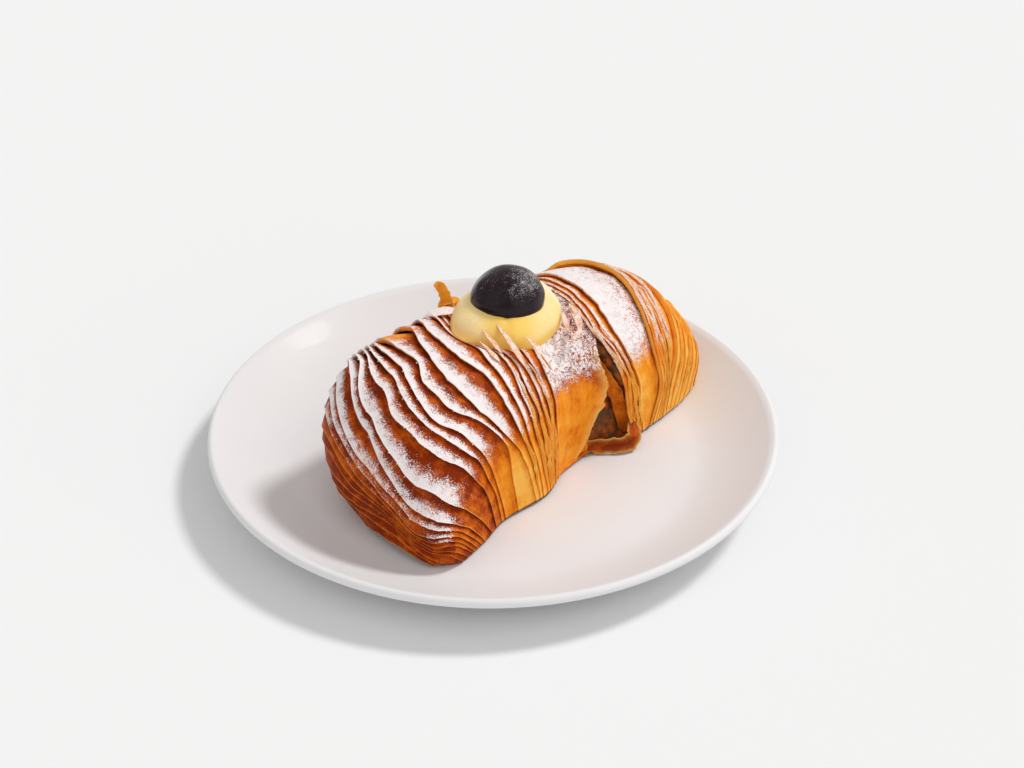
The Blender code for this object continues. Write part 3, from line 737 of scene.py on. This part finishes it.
def cherry_material(dust):
    """Nearly black skin, wrinkled on the right, dusted on top; the grey dust is partly a painted sheen."""
    material, tree, shader = new_material("dark_cherry_skin", 0.2, Specular_IOR_Level=0.2, Coat_Weight=0.06)
    where = in_mm(tree)
    patch = noise(tree, where, 0.16, 3.0, 0.55)
    colour = mixed(tree, spread(tree, patch, 0.35, 0.7), *CHERRY_TONES)
    sugar = placed_group(tree, dust, Place=where, Amount=attribute(tree, "sugar"))
    colour = mixed(tree, sugar["Cover"], colour, DUST_AND_SHEEN_ON_CHERRY)
    roughness = spread(tree, sugar["Cover"], 0.0, 0.6, 0.18, 0.75)
    stretched = node(tree, "Mapping", (("Vector", where), ("Scale", (1.0, 1.0, 0.35)))).outputs[0]
    wrinkles = times(tree, noise(tree, stretched, 0.7, 3.0), attribute(tree, "wrinkled"))
    normal = bump(tree, maths(tree, "ADD", wrinkles, sugar["Height"]), 0.35, 0.3)
    join(tree, shader, Base_Color=colour, Roughness=roughness, Normal=normal)
    return material


def glaze_material():
    """White glazed ceramic, with the faint unevenness of a fired glaze."""
    material, tree, shader = new_material(
        "glazed_white_ceramic", 0.4, Specular_IOR_Level=0.12, Coat_Weight=0.03
    )
    where = in_mm(tree)
    cloud = noise(tree, where, 0.03)
    speck = noise(tree, where, 0.9)
    colour = mixed(tree, spread(tree, cloud, 0.3, 0.7), *GLAZE_TONES)
    roughness = spread(tree, speck, 0.3, 0.7, 0.36, 0.44)
    height = maths(tree, "ADD", times(tree, cloud, 3.0), times(tree, speck, 0.06))
    join(tree, shader, Base_Color=colour, Roughness=roughness, Normal=bump(tree, height, 0.2, 0.25))
    return material


def sugar_material():
    material, tree, shader = new_material("powdered_sugar", 0.85)
    tint = spread(tree, noise(tree, in_mm(tree), 1.5), 0.3, 0.7)
    join(tree, shader, Base_Color=mixed(tree, tint, *SUGAR_TONES))
    return material


# Plate


def make_plate(finish):
    """The plate turned from its section, with a rolled lip and a foot ring."""
    lip_at = PLATE_RADIUS - LIP_RADIUS
    rim = np.linspace(WELL_RADIUS, lip_at, 14)
    well = np.linspace(WELL_RADIUS / 8, WELL_RADIUS * 0.97, 8)
    top = [(0.0, WELL_TOP), *((r, WELL_TOP) for r in well), *((r, float(plate_top(r))) for r in rim)]
    lip_height = float(plate_top(lip_at)) - LIP_RADIUS
    lip = [
        (lip_at + LIP_RADIUS * math.cos(a), lip_height + LIP_RADIUS * math.sin(a))
        for a in np.radians((72, 52, 32, 12, -10, -35, -60))
    ]
    under = [(r, max(WELL_UNDERSIDE, float(plate_top(r)) - RIM_THICKNESS)) for r in rim[-2::-1]]
    foot = [(FOOT_RADIUS + out, height) for out, height in FOOT_SIDE]
    foot += [(FOOT_RADIUS - FOOT_WIDTH - out, height) for out, height in reversed(FOOT_SIDE)]
    foot += [(FOOT_RADIUS / 2, WELL_UNDERSIDE), (0.0, WELL_UNDERSIDE)]
    bm = bmesh.new()
    corners = [bm.verts.new((radius, 0, height)) for radius, height in top + lip + under + foot]
    edges = [bm.edges.new(pair) for pair in zip(corners, corners[1:])]
    bmesh.ops.spin(
        bm, geom=corners + edges, cent=(0, 0, 0), axis=(0, 0, 1), angle=2 * math.pi,
        steps=PLATE_SIDES, use_merge=True,
    )
    bmesh.ops.remove_doubles(bm, verts=bm.verts, dist=0.01 * MM)
    return finished("glazed_plate", to_mesh("glazed_plate", bm), finish)


# Shell


def planned_edge(n, turns):
    return curve_through(np.radians(EDGE_TURNS), np.array(LEAVES[n][3]) / 1000)(turns)


def edge_shares(turns):
    """Where every leaf's edge lies at the given turns, in order and never closer than CLOSEST_EDGES."""
    edges = [planned_edge(n, turns) for n in range(len(LEAVES))]
    edges.append(np.full_like(turns, 1.0))
    edges.append(np.full_like(turns, 1.03))
    for n, edge in enumerate(edges[:-2]):
        own = drift(turns, 0.2, 100 + n) * 0.65 + drift(turns, 0.07, 300 + n) * 0.2
        own = own + drift(turns, 0.028, 900 + n) * 0.08
        before = edges[n - 1] if n else np.zeros_like(turns)
        room = np.minimum(edge - before, np.maximum(edges[n + 1] - edge, CLOSEST_EDGES))
        edges[n] = edge + own * np.clip(room, 0, 0.03) * (0.24 if n < FLAP else 0.36)
        if n:
            edges[n] = np.maximum(edges[n], edges[n - 1] + CLOSEST_EDGES)
    return edges


def leaf_looks(n, share, turn, part, behind):
    """Sugar, and bake with painted shade, of leaf n, at parts of the way from its edge to the next leaf's,
    and behind its edge.
    """
    _, sweet, bake, _ = LEAVES[n]
    facing = smooth((body_normal(np.clip(share, 0, 1), turn)[..., 2] + 0.02) / 0.44)
    even = np.clip((sweet - 1.15) / 0.15, 0, 1)
    right = smooth((turn - math.radians(14 + 10 * even)) / math.radians(26))
    left = smooth((math.radians(160) - turn) / math.radians(40))
    band = np.interp(np.maximum(part, behind / BAND_LONGEST), BAND_STOPS, BAND_SUGAR) * (1 - even)
    band = band + np.interp(part, BAND_STOPS, EVEN_SUGAR) * even
    bare_crest = hill(share, turn, *BARE_CREST)
    sugar = sweet * band * facing * right * left * (1 - bare_crest)
    sugar = sugar * (SECTION_DOWN < 0.5) * (1 - SECTION_DOWN)
    lighter = (1 - right) * (0.10 + 0.28 * smooth((share - 0.25) / 0.15))
    lighter = lighter + 0.5 * hill(share, turn, *GOLDEN_FOOT)
    # Painted shade: darker towards the rear of each leaf, under the next leaf's overhang, and down its cut
    # edge and underside; a little lighter just at its edge.
    painted_shade = np.interp(part, (0.0, 0.3, 0.8, 1.0), (-0.10, 0.0, 0.10, 0.22)) + 0.35 * SECTION_DOWN
    return sugar, np.clip(bake + painted_shade - lighter - 0.6 * bare_crest, 0, 1)


def make_leaves(first, last, name, finish):
    """The leaves from first up to last, each a closed tube that runs over the arch from foot to foot."""
    rings = Rings()
    turns = np.linspace(math.radians(1.2), math.radians(178.8), LEAF_RINGS)
    turn = turns[:, None]
    edges = edge_shares(turns)
    torn = drift(turns, 0.05, 31)[:, None] * 0.004 + drift(turns, 0.018, 32)[:, None] * 0.002
    for n in range(first, last):
        lift = LEAVES[n][0]
        edge, following, after = edges[n][:, None], edges[n + 1][:, None], edges[n + 2][:, None]
        width = following - edge
        tuck = following + 0.6 * np.maximum(after - following, CLOSEST_EDGES)
        opened = gap_opening(turn) if n == FLAP else np.zeros_like(turn)
        rear = tuck * (1 - opened) + (flap_share(turn) + torn) * opened
        share = edge + (rear - edge) * SECTION_BACK
        step = body_point(edge + 0.01, turn) - body_point(edge, turn)
        scale = (np.linalg.norm(step, axis=-1) / 0.01).reshape(-1, 1)
        behind = (share - edge) * scale
        before_rear = np.maximum(rear - share, 0) * scale

        # Its upper face stands out at the edge and slopes down to where the next leaf lies on it
        flare = edge_flare(edge, turn)
        if n == LIPS[0]:
            flare = flare * (0.25 + 0.75 * smooth((TONGUE_ENDS - turn) / math.radians(9)))
        wave = drift(turns, 0.16, 500 + n)[:, None] * 0.16 + drift(turns, 0.06, 700 + n)[:, None] * 0.08
        high = lift * MM * flare * (1 + wave * np.clip(width / 0.02, 0.3, 1))
        slope = (share - edge) / np.maximum(width, 1e-5)
        tucked = np.where(slope < 1, DROP_TO_NEXT * slope, DROP_TO_NEXT + slope - 1)
        tucked = tucked * (1 - opened) + 0.3 * np.clip(slope, 0, 1) * opened
        curl = 0.25 * MM * np.exp(-behind / (0.7 * MM)) * np.clip(width / 0.02, 0, 1)
        dome = 0.10 * high * np.sin(math.pi * np.clip(slope, 0, 1))
        rolled = opened * np.exp(-before_rear / (1.5 * MM))
        top = (0.35 + 0.5 * lift * flare) * MM - high * tucked + curl + dome + 1.4 * MM * rolled
        edge_thickness = LIP_THICKNESS if n in LIPS else (0.34 + 0.42 * lift * flare) * MM
        thick = LEAF_THICKNESS + (edge_thickness - LEAF_THICKNESS) * np.exp(-behind / (0.8 * MM))
        points = on_shell(share, turn, (top - thick * SECTION_DOWN) * foot_fade(turn))
        points = above_plate(points, CLEAR_OF_PLATE + thick * (1 - SECTION_DOWN))

        steps = np.diff(points[:, 0], axis=0, prepend=points[:1, 0])
        part = np.clip(behind / (width * scale), 0, 1.3)
        sugar, bake = leaf_looks(n, share, turn, part, behind)
        gold = LIP_CUT_GOLD if n in LIPS else tuple(c[2] for c in CUT)
        rim = np.array((0.0,) * (len(UPPER) - 1) + (0.7,) + gold + (0.0,) * len(LOWER))[None, :]
        rings.add(
            points,
            behind=behind / MM,
            run=np.cumsum(np.linalg.norm(steps, axis=-1))[:, None] / MM,
            leaf=float(n),
            rim=np.maximum(rim, opened * np.exp(-before_rear / (0.5 * MM))),
            sugar=sugar,
            creased=CREASED.get(n, CREASED_ELSEWHERE) * smooth((turn - math.radians(30)) / math.radians(15)),
            bake=bake,
        )
    return rings.make(name, finish)


def strip(rings, middle, width, facing, thickness, number, sugar, bake, rim=0.9):
    """A thin torn strip along a line of points, as wide as given at each and turned to face one way."""
    forward = np.gradient(middle, axis=0)
    forward /= np.linalg.norm(forward, axis=1, keepdims=True)
    side = np.cross(forward, facing)
    side /= np.linalg.norm(side, axis=1, keepdims=True)
    face = np.cross(side, forward)
    steps = np.arange(len(middle))
    round_edge = np.linspace(0, 2 * math.pi, STRIP_SIDES, endpoint=False)
    out = np.sign(np.cos(round_edge)) * np.abs(np.cos(round_edge)) ** 0.6
    up = np.sin(round_edge)
    ragged = 1 + 0.14 * drift(steps, 1.7, 40 + number)
    half = (width / 2 * ragged)[:, None, None]
    bowl = 0.25 * (out**2)[None, :, None] * half
    thin = (thickness / 2 * np.clip(width / (1.2 * MM), 0.35, 1))[:, None, None]
    points = middle[:, None] + side[:, None] * out[None, :, None] * half
    points = points + face[:, None] * (up[None, :, None] * thin + bowl)
    edge = np.abs(out)[None, :] ** 4
    rings.add(
        points,
        behind=(1 - np.abs(out))[None, :] * 3,
        run=(steps * 0.8)[:, None],
        leaf=60.0 + number,
        rim=edge * rim,
        sugar=sugar * (up > 0.2)[None, :] * (1 - 0.3 * edge),
        bake=bake,
    )


def make_loose_edges(finish):
    """Thin crumpled edges that stand proud of the bundles and cross from one leaf to the next."""
    rings = Rings()
    for number, (leaf, behind, start, end, lift, wide) in enumerate(LOOSE_EDGES):
        turns = np.radians(np.linspace(start, end, 44))
        share = planned_edge(leaf, turns) + behind
        crumpled = 1 + 1.2 * smooth((math.radians(26) - turns) / math.radians(16))
        share = share + 0.003 * drift(turns, 0.14, 60 + number)
        share = share + 0.0016 * crumpled * drift(turns, 0.05, 90 + number)
        ends = np.sin(np.linspace(0, math.pi, len(turns))) ** 0.5
        high = lift * MM * (0.45 + 0.55 * ends) + 0.25 * MM * drift(turns, 0.08, 120 + number)
        middle = on_shell(share, turns, high * foot_fade(turns), 0.8 * MM)
        facing = body_normal(share, turns) - 0.8 * ALONG
        dusting = 0.6 if leaf <= LIPS[1] else 0.0
        sugar = (dusting * smooth((turns - math.radians(22)) / math.radians(30)))[:, None]
        width = wide * MM * (0.25 + 0.75 * ends)
        strip(rings, middle, width, facing, 0.45 * MM, number, sugar, 0.15)
    return rings.make("loose_edges", finish)


def make_strips(name, finish, *strips):
    """Strips, each given by its corners, the way it faces, its thickness in mm, its sugar and its bake."""
    rings = Rings()
    for number, (corners, facing, thickness, sugar, bake) in enumerate(strips):
        corners = np.array(corners, float) * MM
        steps = np.linspace(0, len(corners) - 1, 8 * (len(corners) - 1) + 1)
        along, across, height, width = (curve_through(np.arange(len(corners)), c)(steps) for c in corners.T)
        turned = ALONG * facing[0] + ACROSS * facing[1] + UP * facing[2]
        strip(rings, place(along, across, height), width, turned, thickness * MM, number, sugar, bake)
    return rings.make(name, finish)


def make_inner_sheet(finish):
    """The amber sheet of dough that shows inside the torn gap, before its back wall."""
    rings = Rings()
    turns = np.radians(np.linspace(52, 2, 50))
    share = back_share(turns) - 0.007 + 0.0015 * drift(turns, 0.3, 140)
    middle = on_shell(share, turns, -2.6 * MM, 0.9 * MM)
    facing = body_normal(share, turns) - 1.1 * ALONG
    ends = np.sin(np.linspace(0.2, math.pi / 2, len(turns))) ** 0.6
    strip(rings, middle, 5.0 * MM * ends, facing, 0.7 * MM, 0, 0.0, 0.72, 0.15)
    return rings.make("inner_sheet", finish)


def make_far_end(finish):
    """The last fold of dough, which closes the far end."""
    turns = np.linspace(0.02, math.pi - 0.02, 90)
    base = (np.arange(1, 13) / 13)[:, None]
    sections = []
    for share, size, beyond in FAR_END:
        arch = on_shell(share, turns, -0.3 * MM)
        section = np.concatenate([arch, arch[-1] * (1 - base) + arch[0] * base])
        middle = section.mean(axis=0)
        sections.append(above_plate(middle + (section - middle) * size + ALONG * beyond * MM))
    rings = Rings()
    points = np.array(sections)
    behind = np.arange(len(points))[:, None] * 1.2
    run = np.arange(points.shape[1])[None, :] * 0.5
    rings.add(points, behind=behind, run=run, leaf=70.0, rim=0.0, sugar=0.0, bake=0.3)
    return rings.make("far_end", finish)


def make_grains(leaves, finish):
    """Clumps of powdered sugar that lie where the leaves are dusted."""
    own = np.random.default_rng(41)
    bm = bmesh.new()
    for piece, count in leaves:
        spots = positions(piece.data)
        sugar = np.empty(len(spots), np.float32)
        piece.data.attributes["sugar"].data.foreach_get("value", sugar)
        likely = np.clip(sugar.astype(float) - 0.25, 0, 0.6)
        for spot in own.choice(len(spots), count, replace=False, p=likely / likely.sum()):
            size = own.uniform(0.10, 0.30) * MM
            shift = own.uniform(-0.5, 0.5, 3) * MM * np.array((1, 1, 0.1))
            flattened = Matrix.Diagonal((1, own.uniform(0.6, 1), 0.6, 1))
            placed = Matrix.Translation(Vector(spots[spot] + shift)) @ flattened
            bmesh.ops.create_icosphere(bm, subdivisions=1, radius=size, matrix=placed)
    return finished("sugar_clumps", to_mesh("sugar_clumps", bm), finish)


def make_core(finish):
    """The body under the leaves, hollowed in the torn gap, with a flat underside."""
    shares = np.linspace(0.012, 0.988, 150)[:, None]
    turns = np.linspace(0, math.pi, 108)[None, :]
    base = (np.arange(1, 13) / 13)[None, :, None]
    flap, back = flap_share(turns), back_share(turns)
    inside = smooth((shares - flap + 0.012) / 0.012) * smooth((back + 0.01 - shares) / 0.012)
    sunk = CORE_DEPTH + (GAP_DEPTH - CORE_DEPTH) * inside * gap_opening(turns)
    arch = on_shell(shares, turns, -(sunk * foot_fade(turns)), 0.9 * MM)
    under = arch[:, -1:, :] * (1 - base) + arch[:, :1, :] * base
    under[..., 2] = plate_top(np.hypot(under[..., 0], under[..., 1])) + 0.3 * MM
    rings = Rings()
    rings.add(np.concatenate([arch, under], axis=1))
    return rings.make("shell_core", finish)


# Cream and cherry


def ball(name, rings, sides):
    """A sphere's mesh of its own, and its points."""
    mesh = unit_sphere(rings, sides).copy()
    mesh.name = name
    return mesh, positions(mesh)


def make_cream(finish):
    """The squat dollop, with the soft fold in front of the cherry."""
    mesh, unit = ball("custard", 59, 120)
    heading = np.arctan2(unit[:, 1], unit[:, 0])
    wide = np.hypot(unit[:, 0], unit[:, 1]) ** 0.75
    wide = wide * (1 + 0.02 * np.sin(3 * heading + 0.6) + 0.02 * np.sin(5 * heading))
    swell = 0.010 * np.sin(4 * heading + 1.1) + 0.006 * np.sin(9 * heading + 6 * unit[:, 2])
    wide = wide * (1 + swell * (unit[:, 2] > -0.5))
    fold = np.exp(-(((heading + 2.35) / 0.10) ** 2)) * np.clip(unit[:, 2], 0, 1) * 0.35 * MM
    along = CREAM_MIDDLE[0] * MM + (CREAM_HALF_LENGTH * wide - fold) * np.cos(heading)
    across = CREAM_MIDDLE[1] * MM - (CREAM_HALF_WIDTH * wide - fold) * np.sin(heading)
    points = place(along, across, CREAM_MIDDLE[2] * MM + CREAM_HALF_HEIGHT * unit[:, 2] - fold)
    set_positions(mesh, points)
    sideways, depth, _ = ((points - points.mean(axis=0)) / CREAM_HALF_WIDTH).T
    left = smooth((-sideways - 0.1) / 0.6) * smooth((unit[:, 2] - 0.05) / 0.5)
    far = smooth(depth / 0.6 + 0.1) * smooth(unit[:, 2] / 0.4)
    right = smooth(sideways / 0.5 - 0.5) * smooth((unit[:, 2] + 0.1) / 0.3)
    set_values(mesh, "sugar", 0.06 + 0.40 * left + 0.44 * far + 0.34 * right)
    return finished("custard", mesh, finish)


def make_cherry(finish):
    """A ball with a dent on its upper left, two swells and soft creases on the right."""
    mesh, unit = ball("dusted_cherry", 63, 128)
    middle = place(*(np.array(x * MM) for x in CHERRY_MIDDLE))
    dent = CHERRY_DENT * smooth((unit @ CHERRY_DENT_SIDE - 0.62) / 0.38)
    right = smooth((unit[:, 0] + 0.2) / 0.8)
    crease = CHERRY_CREASE * np.sin(9 * unit[:, 1] + 7 * unit[:, 2]) * right
    swell = sum(size * np.exp((unit @ np.array(side) - 1) / 0.05) for side, size in CHERRY_SWELLS)
    reach = CHERRY_RADIUS * (1 - dent - 0.004 + crease + swell)
    set_positions(mesh, middle + unit * reach[:, None] * CHERRY_STRETCH)
    top = smooth((unit[:, 2] - 0.15) / 0.7)
    # Dust on top and most on the lit right side, where its grey is partly a painted sheen
    set_values(mesh, "sugar", 0.02 + 0.13 * top + 0.38 * right * top)
    set_values(mesh, "wrinkled", right)
    return finished("dusted_cherry", mesh, finish)


# Stage


def make_floor():
    material, tree, shader = new_material("pale_floor", 0.9, Specular_IOR_Level=0.0)
    join(tree, shader, Base_Color=mixed(tree, noise(tree, in_mm(tree), 0.002, 1.0), *FLOOR_TONES))
    bm = bmesh.new()
    bmesh.ops.create_grid(bm, x_segments=1, y_segments=1, size=6)
    mesh = to_mesh("floor", bm)
    mesh.materials.append(material)
    floor = new_object("floor", mesh)


def add_sun(name, direction, softness, strength, colour=(1, 1, 1)):
    """A sun that shines from a direction. Its softness is an angle in degrees."""
    light = bpy.data.lights.new(name, "SUN")
    light.angle = math.radians(softness)
    light.energy = strength
    light.color = colour
    lamp = new_object(name, light)
    lamp.rotation_mode = "QUATERNION"
    lamp.rotation_quaternion = Vector(direction).to_track_quat("Z", "Y")


def set_studio():
    scene = bpy.context.scene
    scene.view_settings.view_transform = "Standard"
    world = bpy.data.worlds.new("studio")
    world.use_nodes = True
    background = world.node_tree.nodes["Background"]
    background.inputs["Color"].default_value = (1.0, 0.972, 0.95, 1)
    background.inputs["Strength"].default_value = 0.51
    scene.world = world
    add_sun("key", (0.75, 0.35, 1.05), 12, 1.65, (0.99, 0.99, 0.985))
    add_sun("front_fill", (0.9, -0.9, 0.7), 70, 0.50)
    add_sun("left_fill", (-0.8, -0.6, 0.8), 80, 0.32)


def set_camera():
    """The photograph's view: a long lens, 34 degrees above the table."""
    elevation, roll, distance = math.radians(33.7), math.radians(-0.42), 0.7751
    target = Vector((0.006, 0.0158, 0.020))
    back = Vector((0, -math.cos(elevation), math.sin(elevation)))
    right = Vector((1, 0, 0))
    up = back.cross(right)
    turned_right = right * math.cos(roll) + up * math.sin(roll)
    turned_up = up * math.cos(roll) - right * math.sin(roll)
    lens = bpy.data.cameras.new("camera")
    lens.lens = 85
    lens.sensor_width = 36
    lens.clip_start = 0.01
    camera = new_object("camera", lens)
    turned = Matrix((turned_right, turned_up, back)).transposed().to_4x4()
    camera.matrix_world = Matrix.Translation(target + back * distance) @ turned
    bpy.context.scene.camera = camera


def dress(piece, slot, *nodes):
    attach(piece, "root")
    if nodes:
        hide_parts(*nodes)


set_camera()
set_studio()
make_floor()

dust = sugar_dust_group()
crust = baked_crust_group()
leaf_finish = leaf_material("baked_leaf", crust, dust)

dress(make_plate(glaze_material()), "plate_glaze", "plate")
dress(make_core(crumb_material(crust)), "baked_pastry", "pastry_shell")
front = make_leaves(0, WAIST_FROM, "front_leaves", leaf_finish)
waist = make_leaves(WAIST_FROM, FLAP + 1, "waist_leaves", leaf_finish)
rear = make_leaves(FLAP + 1, len(LEAVES), "back_leaves", leaf_finish)
others = (make_loose_edges(leaf_finish), make_inner_sheet(leaf_finish), make_far_end(leaf_finish))
for piece in (front, waist, rear, *others):
    dress(piece, "baked_pastry")
tips = [(corners, (0.1, 0.25, 1), 0.45, 0.58, 0.3) for corners in POINTED_TIPS]
dress(make_strips("pointed_tips", leaf_finish, *tips), "baked_pastry")
curls = (
    (STANDING_FLAKE, (-0.7, 0.5, 0.2), 1.0, 0.0, 0.3),
    (CURLED_KNOB, (-0.4, 0.3, 1), 0.8, 0.1, 0.2),
    (WHITE_CURL, (-0.3, 0.2, 1), 0.6, 0.9, 0.5),
)
dress(make_strips("standing_flake", leaf_finish, *curls), "baked_pastry")
dress(make_strips("low_lip", leaf_finish, (LOW_LIP, (-0.3, 0.8, 0.3), 0.7, 0.0, 0.97)), "baked_pastry")
grains = make_grains(((front, 420), (waist, 220), (rear, 200)), sugar_material())
dress(grains, "baked_pastry")
dress(make_cream(custard_material(dust)), "custard", "custard_cream")
dress(make_cherry(cherry_material(dust)), "dark_cherry", "cherry")
